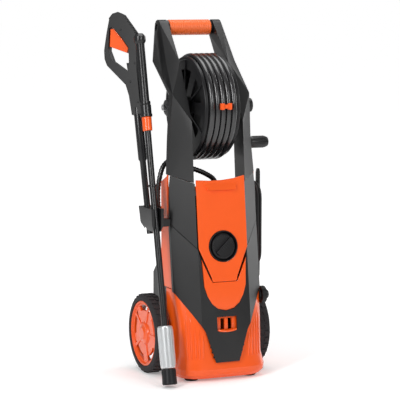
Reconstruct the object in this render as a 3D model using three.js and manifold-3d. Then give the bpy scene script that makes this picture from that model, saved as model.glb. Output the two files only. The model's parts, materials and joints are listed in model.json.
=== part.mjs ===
// Pressure washer: an upright high-pressure cleaner on two wheels. A hose reel turns between its two
// uprights, a spray gun and a lance stand in a side holder, and the power cord hangs on two side hooks.
// Millimetres, +Z up. The front faces -Y and the left side, with the lance, is -X.
import * as THREE from 'three';
import { ConvexGeometry } from 'three/addons/geometries/ConvexGeometry.js';
import { mergeVertices } from 'three/addons/utils/BufferGeometryUtils.js';
import Module from 'manifold-3d';

const wasm = await Module();
wasm.setup();

// ---- driving dimensions ----
const ORIGIN_SHIFT_X = 17;
const ORIGIN_SHIFT_Y = 24.3;
const GAP = 0.4;
const CURVE_STEPS = 4;
const WALL = 3.5;

// The tower's front line, seen from the side: height and the y of the centre panel.
const FRONT_LINE = [[22, -141], [130, -145], [228, -138], [338, -125], [505, -106], [650, -94], [730, -88]];
const BODY_HALF = 120;
const PANEL_HALF = 67;
const COLUMN_SWEEP = 48;
const SIDE_SEAM_Y = -54;
const STRIP_BACK = -14;
const SHELL_BACK = 40;
const SHELL_BACK_HALF = 79;
const TUB_BACK = -40;
const TUB_TOP = 228;
const TOWER_TOP = 515;
const DECK_Z = 460;
const SHELL_TOP_BACK = 470;
const PANEL_TOP = 505;
const SEAM_INNER = 497;
const SEAM_OUTER = 516;

const HOUSING_HALF = 100;
const HOUSING_BACK = 88;
const HOUSING_BOTTOM = 60;
const HOUSING_TOP = 280;

const ARM_TIP_Z = 650;
const ARM_OUTER_Z = 716;
const UPRIGHT_TOP_HALF = 106;
const HANDLE_Y = 88;
const HANDLE_Z = 880;
const HANDLE_BAR_R = 9;
const GRIP_R = 19;
const GRIP_HALF = 58;

const WHEEL_R = 102;
const WHEEL_Y = 20;
const WHEEL_INNER_X = 121;
const WHEEL_WIDTH = 38;
const RIM_R = 84;
const AXLE_R = 6;

const REEL_Z = 681;
const REEL_CENTRE = [0, 0, REEL_Z];
const REEL_AXLE_R = 8;
const FLANGE_R = 128;
const FLANGE_X = 40;
const DRUM_R = 105;
const HOSE_D = 15;
const HOSE_TURNS = 5;
const HOSE_OUTER_R = 136;
const CRANK_X = 121.5;
const CRANK_LENGTH = 96;

const KNOB_Z = 338;
const KNOB_R = 32;
const BEZEL_R = 39;

const MOTOR_Y = -35;
const MOTOR_R = 54;

const LANCE_X = -163;
const LANCE_FOOT_Y = -171;
const LANCE_LEAN = Math.atan(0.224);
const GUN_FOOT_Y = -43;
const GUN_FOOT_Z = 372;
const GUN_LEAN = Math.atan(0.2575);
const GUN_YAW = Math.PI / 4;

const CORD_D = 7.5;
const HANK_X = 123;
const HANK_LAYERS = 3;
const HANK_Y = -12;
const HANK_WIDTH = 82.5;
const HANK_BOTTOM = 262;
const HANK_TOP = 486;
const HOOK_UPPER_Z = 457.5;
const HOOK_LOWER_Z = 292;
const PLUG_Y = 54;

// ---- colours ----
const ORANGE = 0xf2622c;
const BLACK = 0x2b2b2d;
const DARK = 0x1c1c1e;
const GREY = 0x6e6e70;
const STEEL = 0xc9ccce;
const BRASS = 0xb08a45;
const SILVER = 0xdadee0;

// ---- solids ----
function toSolid(geometry) {
  const plain = geometry.index ? geometry.toNonIndexed() : geometry.clone();
  plain.deleteAttribute('normal');
  plain.deleteAttribute('uv');
  const merged = mergeVertices(plain, 1e-3);
  const vertProperties = merged.attributes.position.array;
  const triVerts = new Uint32Array(merged.index.array);
  const made = new wasm.Manifold(new wasm.Mesh({ numProp: 3, vertProperties, triVerts }));
  if (made.volume() >= 0) return made;
  triVerts.reverse();
  return new wasm.Manifold(new wasm.Mesh({ numProp: 3, vertProperties, triVerts }));
}

function toGeometry(solid) {
  const mesh = solid.getMesh();
  const position = new Float32Array(mesh.numVert * 3);
  for (let i = 0; i < mesh.numVert; i++) {
    const start = i * mesh.numProp;
    position.set(mesh.vertProperties.subarray(start, start + 3), i * 3);
  }
  const indexed = new THREE.BufferGeometry();
  indexed.setAttribute('position', new THREE.BufferAttribute(position, 3));
  indexed.setIndex(new THREE.BufferAttribute(mesh.triVerts, 1));
  const geometry = indexed.toNonIndexed();
  geometry.computeVertexNormals();
  return geometry;
}

function join(...solids) {
  return solids.reduce((whole, next) => whole.add(next));
}

function cut(solid, ...tools) {
  return tools.reduce((rest, tool) => rest.subtract(tool), solid);
}

// The biggest body of a solid, without the slivers that a cut can leave beside it.
function largest(solid) {
  return solid.decompose().reduce((best, next) => (next.volume() > best.volume() ? next : best));
}

// A closed outline of [u, v] corners.
function outlineOf(corners) {
  return new THREE.Shape(corners.map(([u, v]) => new THREE.Vector2(u, v)));
}

// An outline extruded between two places along an axis. Its corners are (y, z), (x, z) or (x, y).
function slab(outline, axis, from, to) {
  const geometry = new THREE.ExtrudeGeometry(
    outline,
    { depth: to - from, bevelEnabled: false, curveSegments: CURVE_STEPS },
  );
  if (axis === 'x') geometry.translate(0, 0, from).rotateY(Math.PI / 2).rotateX(Math.PI / 2);
  if (axis === 'y') geometry.translate(0, 0, -to).rotateX(Math.PI / 2);
  if (axis === 'z') geometry.translate(0, 0, from);
  return toSolid(geometry);
}

function block(x0, x1, y0, y1, z0, z1) {
  const geometry = new THREE.BoxGeometry(x1 - x0, y1 - y0, z1 - z0);
  return toSolid(geometry.translate((x0 + x1) / 2, (y0 + y1) / 2, (z0 + z1) / 2));
}

// A profile of [radius, distance] corners turned about the axis 'x', 'y' or 'z', then moved to a centre.
function turned(profile, axis, segments, centre = [0, 0, 0]) {
  const geometry = new THREE.LatheGeometry(profile.map(([r, h]) => new THREE.Vector2(r, h)), segments);
  if (axis === 'x') geometry.rotateZ(-Math.PI / 2);
  if (axis === 'z') geometry.rotateX(Math.PI / 2);
  return toSolid(geometry.translate(...centre));
}

function rod(radius, axis, from, to, centre, segments = 20) {
  return turned([[0, from], [radius, from], [radius, to], [0, to]], axis, segments, centre);
}

function ring(inner, outer, axis, from, to, centre, segments = 32) {
  const profile = [[inner, from], [outer, from], [outer, to], [inner, to], [inner, from]];
  return turned(profile, axis, segments, centre);
}

function hull(points) {
  return toSolid(new ConvexGeometry(points.map((p) => new THREE.Vector3(...p))));
}

// A convex section at each height, joined by flat sides to the next.
function loft(sections) {
  const steps = [];
  for (let i = 1; i < sections.length; i++) steps.push(hull([...sections[i - 1], ...sections[i]]));
  return join(...steps);
}

function mirroredPoints(points) {
  return [...points, ...points.map(([x, y, z]) => [-x, y, z])];
}

function sided(side, points) {
  return points.map(([x, y, z]) => [side * x, y, z]);
}

function tube(points, radius, sides, steps) {
  const path = new THREE.CatmullRomCurve3(points.map((p) => new THREE.Vector3(...p)));
  const section = new THREE.Shape();
  section.absarc(0, 0, radius, 0, 2 * Math.PI);
  const corners = section.getSpacedPoints(sides).slice(0, sides);
  const geometry = new THREE.ExtrudeGeometry(new THREE.Shape(corners), { steps, extrudePath: path });
  return toSolid(geometry);
}

// ---- the tree of pieces ----
const washer = new THREE.Group();
const machine = new THREE.Group();
machine.position.set(ORIGIN_SHIFT_X, ORIGIN_SHIFT_Y, 0);
washer.add(machine);

function piece(name, solid, color, roughness = 0.5, metalness = 0, group = machine) {
  const material = new THREE.MeshStandardMaterial({ color, roughness, metalness });
  const mesh = new THREE.Mesh(toGeometry(solid), material);
  mesh.name = name;
  group.add(mesh);
}

// ---- tower surfaces ----
function frontY(z) {
  const above = FRONT_LINE.findIndex(([height]) => height >= z);
  if (above <= 0) return FRONT_LINE[0][1];
  const [z0, y0] = FRONT_LINE[above - 1];
  const [z1, y1] = FRONT_LINE[above];
  return y0 + ((y1 - y0) * (z - z0)) / (z1 - z0);
}

function towerSection(z, inset) {
  const front = frontY(z) + inset;
  const side = BODY_HALF - inset;
  return mirroredPoints([
    [PANEL_HALF - inset * 0.3, front, z],
    [side, front + COLUMN_SWEEP, z],
    [side, STRIP_BACK - inset * 0.5, z],
    [SHELL_BACK_HALF - inset, SHELL_BACK - inset, z],
  ]);
}

function towerLoft(bottom, top, inset) {
  const between = FRONT_LINE.map(([height]) => height).filter((height) => height > bottom && height < top);
  return loft([bottom, ...between, top].map((z) => towerSection(z, inset)));
}

// A shell of the tower's own surface, from one inset to a deeper one.
function towerSkin(bottom, top, inset, thickness = WALL) {
  return cut(towerLoft(bottom, top, inset), towerLoft(bottom - 1, top + 1, inset + thickness));
}

// ---- lower body ----
// Height, half width, front line and how round the front corners are.
const TUB_LEVELS = [
  [8, 110, -148, 1], [18, 118, -157, 1], [32, 119, -158, 1], [62, 114, -149, 1], [150, 115, -146, 0.7],
  [TUB_TOP, 118, -133, 0.15],
];
const TUB_FRONT_HALF = 54;
const TUB_CORNER = 46;
const TUB_CORNER_STEPS = 5;

function tubSection([z, half, front, roundness], inset) {
  const reach = half - inset - TUB_FRONT_HALF;
  const corner = [];
  for (let i = 0; i <= TUB_CORNER_STEPS; i++) {
    const angle = (i * Math.PI) / (2 * TUB_CORNER_STEPS);
    const fall = roundness * (1 - Math.cos(angle)) + (1 - roundness) * Math.sin(angle);
    corner.push([TUB_FRONT_HALF + reach * Math.sin(angle), front + inset + TUB_CORNER * fall, z]);
  }
  return mirroredPoints([...corner, [half - inset, TUB_BACK - GAP, z]]);
}

function tubLoft(inset) {
  return loft(TUB_LEVELS.map((level) => tubSection(level, inset)));
}

function makeTub() {
  const hollow = loft(TUB_LEVELS.map(([z, half, front, roundness], i) => {
    const height = i === 0 ? z + WALL : z + (i === TUB_LEVELS.length - 1 ? 1 : 0);
    return tubSection([height, half, front, roundness], WALL + 1);
  }));
  const open = hollow.translate([0, 4, 0]);
  const slots = [-15, 5].map((x) => block(x, x + 11, -170, -130, 130, 158));
  piece('base_tub', cut(tubLoft(0), hollow, open, ...slots), ORANGE, 0.35);
}

function makeFeet() {
  for (const [name, x] of [['left_front_foot', -80], ['right_front_foot', 80]]) {
    const profile = [[0, 0], [15, 0], [18, 3], [16, 7.6], [0, 7.6]];
    piece(name, turned(profile, 'z', 20, [x, -112, 0]), DARK, 0.9);
  }
}

const FAIRING_LEVELS = [[49, -160], [128, -156], [228, -144], [338, -129], [393, -122]];

function fairingLoft(inset) {
  return loft(FAIRING_LEVELS.map(([z, front]) => mirroredPoints([
    [30, front + inset, z],
    [PANEL_HALF, front + 4 + inset, z],
    [BODY_HALF - inset, front + 4 + COLUMN_SWEEP + inset, z],
    [BODY_HALF - inset, front + 14 + COLUMN_SWEEP + Math.abs(inset), z],
    [60, -70, z],
  ])));
}

// The tongue below the knob panel: straight sides and a rounded foot.
function tongueOutline(grow) {
  const shape = new THREE.Shape();
  shape.moveTo(PANEL_HALF + grow, 331);
  shape.lineTo(60 + grow, 300);
  shape.lineTo(57 + grow, 240);
  shape.bezierCurveTo(48 + grow, 205, 34, 178 - grow, 0, 178 - grow);
  shape.bezierCurveTo(-34, 178 - grow, -48 - grow, 205, -57 - grow, 240);
  shape.lineTo(-60 - grow, 300);
  shape.lineTo(-PANEL_HALF - grow, 331);
  shape.lineTo(-PANEL_HALF - grow, 520);
  shape.lineTo(PANEL_HALF + grow, 520);
  return shape;
}

function makeFairing() {
  const front = outlineOf([
    [32, 49], [58, 128], [121, 226], [121, 393], [PANEL_HALF, 331],
    [-PANEL_HALF, 331], [-121, 393], [-121, 226], [-58, 128], [-32, 49],
  ]);
  const slot = outlineOf([[-27, 130], [-20, 125], [20, 125], [27, 130], [27, 163], [-27, 163]]);
  const skin = cut(fairingLoft(0), fairingLoft(WALL), block(-130, 130, -60, -30, 0, 400));
  const side = block(-130, 130, -160, -60, 40, 400);
  const panel = skin.intersect(slab(front, 'y', -175, -60)).intersect(side);
  const shaped = cut(panel, slab(tongueOutline(GAP), 'y', -175, -60), slab(slot, 'y', -175, -120));
  piece('front_fairing', cut(shaped, tubLoft(-GAP)), BLACK, 0.45);
}

function panelOutline(shrink) {
  const shape = new THREE.Shape();
  shape.moveTo(-33 + shrink, 250);
  shape.lineTo(33 - shrink, 250);
  shape.lineTo(36 - shrink, 262);
  shape.lineTo(PANEL_HALF - shrink, 335);
  shape.lineTo(PANEL_HALF - shrink, PANEL_TOP + 8);
  shape.quadraticCurveTo(10, PANEL_TOP - 8, -PANEL_HALF + shrink, PANEL_TOP);
  shape.lineTo(-PANEL_HALF + shrink, 335);
  shape.lineTo(-36 + shrink, 262);
  return shape;
}

function makeCovers() {
  const knobHole = rod(BEZEL_R + GAP, 'y', -160, -90, [0, 0, KNOB_Z], 32);
  const centre = towerSkin(200, 530, -5, 4.4).intersect(slab(panelOutline(GAP), 'y', -160, -70));
  piece('centre_cover', cut(centre, knobHole), ORANGE, 0.3);
  const grown = outlineOf([
    [-34, 249], [34, 249], [40, 260], [72, 331], [72, 340], [-72, 340], [-72, 331], [-40, 260],
  ]);
  const tongue = towerSkin(170, 330, -6, 4.4).intersect(slab(tongueOutline(-GAP), 'y', -165, -80));
  piece('lower_cover', cut(tongue, slab(grown, 'y', -165, -80)), ORANGE, 0.3);
}

// The seam between column and upright rises towards the outside.
function seamZ(x) {
  return SEAM_INNER + ((SEAM_OUTER - SEAM_INNER) * (x - PANEL_HALF)) / (BODY_HALF - PANEL_HALF);
}

function makeColumns() {
  for (const [name, side] of [['left_column', -1], ['right_column', 1]]) {
    const seam = [[121, seamZ(121) - GAP], [PANEL_HALF + GAP, seamZ(PANEL_HALF) - GAP]];
    const corners = [[PANEL_HALF + GAP, 332], [121, 394], ...seam];
    const front = outlineOf(corners.map(([x, z]) => [side * x, z]));
    const skin = towerSkin(300, 530, 0, WALL + 1).intersect(slab(front, 'y', -170, -60));
    const sideCut = block(-130, 130, SIDE_SEAM_Y - GAP, 60, 300, 530);
    piece(name, largest(cut(skin, sideCut)), BLACK, 0.45);
  }
}

function makeRearShell() {
  const skin = towerSkin(TUB_TOP + 3, TOWER_TOP, 0);
  const forward = block(-130, 130, -200, SIDE_SEAM_Y, 388.6, 530);
  const lowerForward = hull(mirroredPoints([
    [130, -200, 394], [130, -61, 394], [130, -200, 200], [130, -87, 200],
  ]));
  const box = housingHull(GAP);
  const slope = outlineOf([
    [-50, TOWER_TOP - 3], [SHELL_BACK + 1, SHELL_TOP_BACK], [SHELL_BACK + 1, 600], [-50, 600],
  ]);
  const shaped = cut(skin, forward, lowerForward, fairingLoft(-GAP), box, slab(slope, 'x', -130, 130));
  piece('rear_shell', shaped, ORANGE, 0.35);
}

function housingHull(grow) {
  const half = HOUSING_HALF + grow;
  const corner = 30;
  const points = [
    [half, TUB_BACK - grow + 0.4, HOUSING_BOTTOM - grow],
    [half, HOUSING_BACK + grow, HOUSING_BOTTOM - grow],
    [half, HOUSING_BACK + grow, HOUSING_TOP - corner + grow],
    [half, HOUSING_BACK - corner + grow, HOUSING_TOP + grow],
    [half, TUB_BACK - grow + 0.4, HOUSING_TOP + grow],
  ];
  return hull(mirroredPoints(points));
}

function makeRearHousing() {
  const shell = cut(
    housingHull(0),
    block(-HOUSING_HALF + WALL, HOUSING_HALF - WALL, -60, HOUSING_BACK - WALL, HOUSING_BOTTOM + WALL, 246),
  );
  const neck = block(-60, 60, -60, 40, 240, 300);
  const axleBore = rod(AXLE_R + GAP, 'x', -130, 130, [0, WHEEL_Y, WHEEL_R], 20);
  const vents = [0, 1, 2, 3, 4].map((i) => block(
    -60,
    60,
    HOUSING_BACK - 10,
    HOUSING_BACK + 2,
    120 + 16 * i,
    127 + 16 * i,
  ));
  const gland = turned([[0, 98], [10, 98], [10, 104], [6.5, 120], [0, 120]], 'x', 16, [0, 62, 236]);
  piece('rear_housing', join(cut(shell, neck, axleBore, ...vents), gland), BLACK, 0.55);
}

function makeTopDeck() {
  const hole = rod(12, 'z', 400, 520, [39, -8, 0], 20);
  piece(
    'top_deck',
    cut(towerLoft(DECK_Z, DECK_Z + 4, WALL + 2), hole, block(-130, 130, -200, -98, 400, 600)),
    BLACK,
    0.6,
  );
}

// ---- uprights, arms and handle ----
function uprightTop(grow) {
  return [
    [70 - grow, -94 - grow, ARM_TIP_Z],
    [UPRIGHT_TOP_HALF + grow, -56 - grow, ARM_OUTER_Z],
    [UPRIGHT_TOP_HALF + grow, -32 + grow, ARM_OUTER_Z],
    [75 - grow, -25 + grow, ARM_TIP_Z + 7],
  ];
}

function uprightLoft(side, grow) {
  const level = (z, half) => [
    [70 - grow, frontY(z) - grow, z],
    [half + grow, frontY(z) + COLUMN_SWEEP - grow, z],
    [half + grow, frontY(z) + COLUMN_SWEEP + 16 + grow, z],
    [75 - grow, frontY(z) + 69 + grow, z],
  ];
  const middle = (BODY_HALF + UPRIGHT_TOP_HALF) / 2;
  return loft([
    level(SEAM_INNER, BODY_HALF), level(600, middle), uprightTop(grow),
  ].map((points) => sided(side, points)));
}

function makeUprights() {
  const socket = cut(towerLoft(480, SEAM_OUTER, -GAP), towerLoft(400, 600, WALL + GAP));
  for (const [name, side] of [['left_upright', -1], ['right_upright', 1]]) {
    const seam = outlineOf([
      [60, 480], [60, seamZ(60)], [125, seamZ(125)], [125, 480],
    ].map(([x, z]) => [side * x, z]));
    const foot = slab(seam, 'y', -140, -20);
    const rearEdge = socket.intersect(block(-130, 130, SIDE_SEAM_Y - GAP, 60, 480, 530));
    piece(name, cut(uprightLoft(side, 0), foot, rearEdge), BLACK, 0.45);
  }
}

function armLoft(side, lift) {
  const foot = uprightTop(0).map(([x, y, z]) => [x, y, z + lift]);
  const middle = [[67, -12, 795], [96, 10, 795], [112, 60, 795], [75, 78, 795]];
  const head = [];
  for (let i = 0; i < 12; i++) {
    const angle = (i * Math.PI) / 6;
    for (const x of [63, 86]) {
      head.push([x, HANDLE_Y + 20 * Math.cos(angle), HANDLE_Z + 20 * Math.sin(angle)]);
    }
  }
  return loft([foot, middle, head].map((points) => sided(side, points)));
}

function makeArms() {
  const bar = rod(HANDLE_BAR_R + GAP, 'x', -100, 100, [0, HANDLE_Y, HANDLE_Z]);
  for (const [name, side] of [['left_arm', -1], ['right_arm', 1]]) {
    piece(name, cut(armLoft(side, 0.6), bar, bracketHull(side, GAP)), BLACK, 0.4);
  }
}

function makeHandle() {
  piece('handle_bar', rod(HANDLE_BAR_R, 'x', -84, 84, [0, HANDLE_Y, HANDLE_Z]), STEEL, 0.3, 0.9);
  const r = HANDLE_BAR_R + GAP;
  const profile = [
    [r, -GRIP_HALF], [GRIP_R - 2, -GRIP_HALF], [GRIP_R, 2 - GRIP_HALF], [GRIP_R, GRIP_HALF - 2],
    [GRIP_R - 2, GRIP_HALF], [r, GRIP_HALF], [r, -GRIP_HALF],
  ];
  piece('handle_grip', turned(profile, 'x', 28, [0, HANDLE_Y, HANDLE_Z]), ORANGE, 0.5);
}

// ---- hose reel ----

function bracketHull(side, grow) {
  const points = [];
  const radius = 20 + grow;
  for (let i = 0; i < 12; i++) {
    const angle = (i * Math.PI) / 6;
    for (const x of [74 - grow, 100 + grow]) {
      points.push([x, radius * Math.cos(angle), REEL_Z + radius * Math.sin(angle)]);
    }
  }
  for (const x of [76 - grow, 92 + grow]) {
    points.push([x, -62, REEL_Z - 50 - grow], [x, -62, REEL_Z - 10 + grow]);
  }
  return hull(sided(side, points));
}

function makeReelBrackets() {
  const bore = rod(REEL_AXLE_R + GAP, 'x', -130, 130, REEL_CENTRE);
  for (const [name, side] of [['left_reel_bracket', -1], ['right_reel_bracket', 1]]) {
    const upright = uprightLoft(side, GAP);
    piece(name, cut(bracketHull(side, 0), bore, upright, upright.translate([0, 0, 2 * GAP])), BLACK, 0.5);
  }
}

function makeReel() {
  piece('reel_axle', rod(REEL_AXLE_R, 'x', -110, CRANK_X + 10, REEL_CENTRE), STEEL, 0.3, 0.9);
  for (const [name, side] of [['left_reel_flange', -1], ['right_reel_flange', 1]]) {
    const from = side > 0 ? FLANGE_X : -FLANGE_X - 6;
    const disc = ring(REEL_AXLE_R + GAP, FLANGE_R, 'x', from, from + 6, REEL_CENTRE, 36);
    const hub = ring(
      REEL_AXLE_R + GAP,
      26,
      'x',
      side > 0 ? from + 5 : from - 14,
      side > 0 ? from + 20 : from + 1,
      REEL_CENTRE,
      24,
    );
    const holes = [];
    for (let i = 0; i < 6; i++) {
      const window = new THREE.Shape();
      window.absarc(0, 0, 96, i * Math.PI / 3 + 0.16, (i + 1) * Math.PI / 3 - 0.16);
      window.absarc(0, 0, 44, (i + 1) * Math.PI / 3 - 0.3, i * Math.PI / 3 + 0.3, true);
      holes.push(slab(window, 'x', from - 2, from + 8).translate(REEL_CENTRE));
    }
    piece(name, cut(join(disc, hub), ...holes), DARK, 0.5);
  }
  const drumEnd = FLANGE_X - GAP;
  const wall = ring(DRUM_R - 4, DRUM_R, 'x', -drumEnd, drumEnd, REEL_CENTRE, 36);
  const web = ring(REEL_AXLE_R + GAP, DRUM_R - 3, 'x', -3, 3, REEL_CENTRE, 36);
  piece('reel_drum', join(wall, web), DARK, 0.5);
  const half = HOSE_D * HOSE_TURNS / 2;
  const inner = DRUM_R + GAP;
  piece('hose_coil', ring(inner, HOSE_OUTER_R, 'x', -half, half, REEL_CENTRE, 36), DARK, 0.6);
  const clipPlace = [2, -HOSE_OUTER_R - 4, REEL_Z + 8];
  const clip = join(
    block(-15, 15, -4, 3.4, -5, 5),
    block(-15, -5, -5, 3.4, -8, 8),
    block(5, 15, -5, 3.4, -8, 8),
  );
  piece('hose_clip', clip.translate(clipPlace), ORANGE, 0.5);
}

function makeCrank() {
  const arm = outlineOf([
    [-11, 12], [-7, -CRANK_LENGTH + 6], [-9, -CRANK_LENGTH - 12], [9, -CRANK_LENGTH - 12],
    [7, -CRANK_LENGTH + 6], [11, 12],
  ]);
  const hub = rod(18, 'x', CRANK_X, CRANK_X + 14, REEL_CENTRE, 24);
  const lever = slab(arm, 'x', CRANK_X + 1, CRANK_X + 9).translate(REEL_CENTRE);
  const pin = rod(4, 'x', CRANK_X + 7, CRANK_X + 58, [0, 0, REEL_Z - CRANK_LENGTH], 12);
  piece(
    'crank_arm',
    cut(join(hub, lever, pin), rod(REEL_AXLE_R + GAP, 'x', 0, CRANK_X + 10 + GAP, REEL_CENTRE)),
    BLACK,
    0.45,
  );
  const from = CRANK_X + 9.5;
  const to = CRANK_X + 62;
  const profile = [
    [4.4, from], [12, from], [15, from + 8], [15, to - 8], [12, to], [0, to], [0, to - 3],
    [4.4, to - 3], [4.4, from],
  ];
  piece('crank_grip', turned(profile, 'x', 24, [0, 0, REEL_Z - CRANK_LENGTH]), BLACK, 0.6);
}

// ---- wheels ----
function makeWheel(side, label) {
  const from = side > 0 ? WHEEL_INNER_X : -WHEEL_INNER_X - WHEEL_WIDTH;
  const centre = [0, WHEEL_Y, WHEEL_R];
  const to = from + WHEEL_WIDTH;
  const edge = 6;
  const tyre = [
    [RIM_R + GAP, from], [WHEEL_R - 5, from], [WHEEL_R, from + edge], [WHEEL_R, to - edge],
    [WHEEL_R - 5, to], [RIM_R + GAP, to], [RIM_R + GAP, from],
  ];
  piece(label + '_tyre', turned(tyre, 'x', 40, centre), DARK, 0.9);
  const bore = AXLE_R + 0.5;
  const outer = side > 0 ? to : from;
  const out = (d) => outer - side * d;
  const rim = [
    [bore, out(34)], [22, out(34)], [22, out(14)],
    [RIM_R - 6, out(14)], [RIM_R - 6, out(34)], [RIM_R, out(34)],
    [RIM_R, out(2)], [RIM_R - 5, out(1)], [RIM_R - 8, out(7)], [30, out(7)], [26, out(2)],
    [18, out(1)], [14, out(-2)], [0, out(-2)], [0, out(3)],
    [bore, out(3)], [bore, out(34)],
  ];
  const windows = [];
  for (let i = 0; i < 5; i++) {
    const middle = (i * 2 * Math.PI) / 5 + 0.3;
    const window = new THREE.Shape();
    window.absarc(0, 0, RIM_R - 11, middle - 0.5, middle + 0.5);
    window.absarc(0, 0, RIM_R - 25, middle + 0.42, middle - 0.42, true);
    windows.push(slab(window, 'x', from - 2, to + 2).translate(centre));
  }
  piece(label + '_rim', cut(turned(rim, 'x', 30, centre), ...windows), ORANGE, 0.4);
}

// ---- knob and switch ----
function makeKnob() {
  const panel = new THREE.Group();
  panel.position.set(0, frontY(KNOB_Z) - 5, KNOB_Z);
  panel.rotation.x = Math.PI / 2 - Math.atan(0.114);
  machine.add(panel);
  const bezel = [
    [6, -12], [36, -12], [BEZEL_R, -8], [BEZEL_R, 2], [BEZEL_R - 2, 2.5], [KNOB_R + 2, -8], [6, -8],
    [6, -12],
  ];
  piece('knob_bezel', turned(bezel, 'z', 32), DARK, 0.5, 0, panel);
  const dial = turned(
    [[0, -7], [KNOB_R - 3, -7], [KNOB_R, -4], [KNOB_R - 1, 1], [KNOB_R - 4, 3], [0, 3]],
    'z',
    28,
  );
  const bar = slab(outlineOf([[-7, -27], [7, -27], [5, 27], [-5, 27]]), 'z', 2, 12).rotate([0, 0, -45]);
  const shaft = rod(5, 'z', -20, -6, [0, 0, 0], 16);
  piece('power_knob', join(dial, bar, shaft), BLACK, 0.45, 0, panel);
  piece(
    'switch_box',
    cut(block(-28, 28, -26, 26, -36, -13), rod(5.5, 'z', -30, 0, [0, 0, 0], 16)),
    DARK,
    0.6,
    0,
    panel,
  );
}

// ---- drive inside the tower ----
function makeDrive() {
  const centre = [0, MOTOR_Y, 0];
  piece(
    'motor_body',
    cut(rod(MOTOR_R, 'z', 272, 428, centre, 28), rod(7, 'z', 260, 440, centre)),
    GREY,
    0.5,
    0.3,
  );
  piece('motor_shaft', rod(6, 'z', 240, 454, centre, 16), STEEL, 0.3, 0.9);
  const blades = [0, 1, 2, 3].map((i) => block(-46, 46, -2, 2, 432, 448).rotate([0, 0, 45 * i]));
  const fan = join(
    rod(14, 'z', 431, 450, [0, 0, 0], 16),
    ring(42, 47, 'z', 431, 434, [0, 0, 0], 20),
    ...blades,
  );
  piece('cooling_fan', cut(fan, rod(6.4, 'z', 420, 460, [0, 0, 0], 16)).translate(centre), BLACK, 0.5);
  const gearcase = cut(rod(48, 'z', 168, 271, centre, 28), rod(8, 'z', 235, 280, centre));
  piece('pump_body', gearcase, STEEL, 0.4, 0.7);
  piece(
    'pump_head',
    join(block(-40, 40, -72, 0, 112, 167.6), block(-20, 20, -90, -71, 124, 150)),
    BRASS,
    0.35,
    0.8,
  );
}

// ---- water inlet ----
function makeInlet() {
  const centre = [0, -84, 200];
  const half = TUB_LEVELS[5][1];
  const spigot = turned(
    [[5, half + GAP], [13, half + GAP], [13, 142], [10, 146], [5, 146], [5, half + GAP]],
    'x',
    20,
    centre,
  );
  piece('inlet_spigot', spigot, BLACK, 0.45);
  piece('inlet_ring', ring(13 + GAP, 22, 'x', 123, 136, centre, 20), BLACK, 0.5);
}

// ---- holder, gun and lance ----
function leanAt(footY, footZ, lean, z) {
  return footY + Math.tan(lean) * (z - footZ);
}

function makeHolder() {
  const lance = join(lanceBore(9), lanceMouth());
  const gun = gunBore(12);
  const body = hull([
    [-180, -94, 436], [-146, -94, 436], [-180, -10, 436], [-146, -10, 436],
    [-179, -96, 396], [-147, -96, 396], [-179, -20, 396], [-147, -20, 396],
    [-172, -92, 378], [-154, -92, 378], [-172, -36, 378], [-154, -36, 378],
  ]);
  const bracket = block(-150, -BODY_HALF - GAP, -74, -52, 388, 406);
  piece('holder', cut(join(body, bracket), lance, gun), BLACK, 0.5);
}

function lanceBore(radius) {
  const bore = rod(radius, 'z', 300, 600, [0, 0, 0], 20).rotate([-LANCE_LEAN * 180 / Math.PI, 0, 0]);
  return bore.translate([LANCE_X, LANCE_FOOT_Y, 0]);
}

// The way by which the lance tube leaves its clip, towards the front.
function lanceMouth() {
  const line = (z) => leanAt(LANCE_FOOT_Y, 0, LANCE_LEAN, z);
  const corners = [[line(360), 360], [line(470), 470], [line(470) - 60, 470], [line(360) - 60, 360]];
  return slab(outlineOf(corners), 'x', LANCE_X - 9, LANCE_X + 9);
}

function gunBore(radius) {
  const bore = rod(radius, 'z', -40, 120, [0, 0, 0], 20).rotate([-GUN_LEAN * 180 / Math.PI, 0, 0]);
  return bore.translate([LANCE_X, GUN_FOOT_Y, GUN_FOOT_Z]);
}

function makeLance() {
  const lance = new THREE.Group();
  lance.position.set(LANCE_X, LANCE_FOOT_Y, 0);
  lance.rotation.x = -LANCE_LEAN;
  machine.add(lance);
  const tip = [[5, 7], [17, 7], [19, 10], [17, 47], [5, 47], [5, 7]];
  piece('nozzle_tip', turned(tip, 'z', 24), DARK, 0.5, 0, lance);
  const sleeve = [[0, 47.4], [16, 47.4], [19, 50], [19, 150], [16, 153], [9, 153], [0, 153]];
  piece('nozzle_sleeve', turned(sleeve, 'z', 24), SILVER, 0.3, 0.8, lance);
  piece('lance_tube', rod(8, 'z', 153.4, 641, [0, 0, 0], 16), DARK, 0.4, 0, lance);
  piece(
    'lance_band',
    turned([[0, 641.4], [12, 641.4], [12.5, 676], [0, 676]], 'z', 24),
    ORANGE,
    0.4,
    0,
    lance,
  );
  const upper = [
    [0, 676.4], [14, 676.4], [14, 706], [11, 709], [11, 862], [15, 868], [15, 880], [9, 888],
    [0, 888],
  ];
  piece('lance_sleeve', turned(upper, 'z', 24), BLACK, 0.35, 0, lance);
}

const GUN_BODY = [
  [-12, 300], [-12, 418], [-16, 455], [-21, 498], [-17, 510], [13, 562], [22, 568], [38, 566], [49, 556],
  [61, 518], [72, 476], [73, 454], [68, 436], [22, 379], [16, 350], [13, 300],
];
const GUN_WINDOW = [[52, 532], [40, 531], [20, 501], [4, 473], [7, 436], [12, 411], [52, 447], [60, 476]];
const GUN_TRIGGER = [[50, 529], [41, 528.5], [21.5, 499], [6.5, 472], [11, 460], [57, 484]];
const TRIGGER_PIVOT = [12, 467];
const TRIGGER_TRAVEL = (13 * Math.PI) / 180;
const TRIGGER_LOCK = [[12.6, 414], [16, 417.5], [17, 436], [11.5, 435]];

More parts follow.
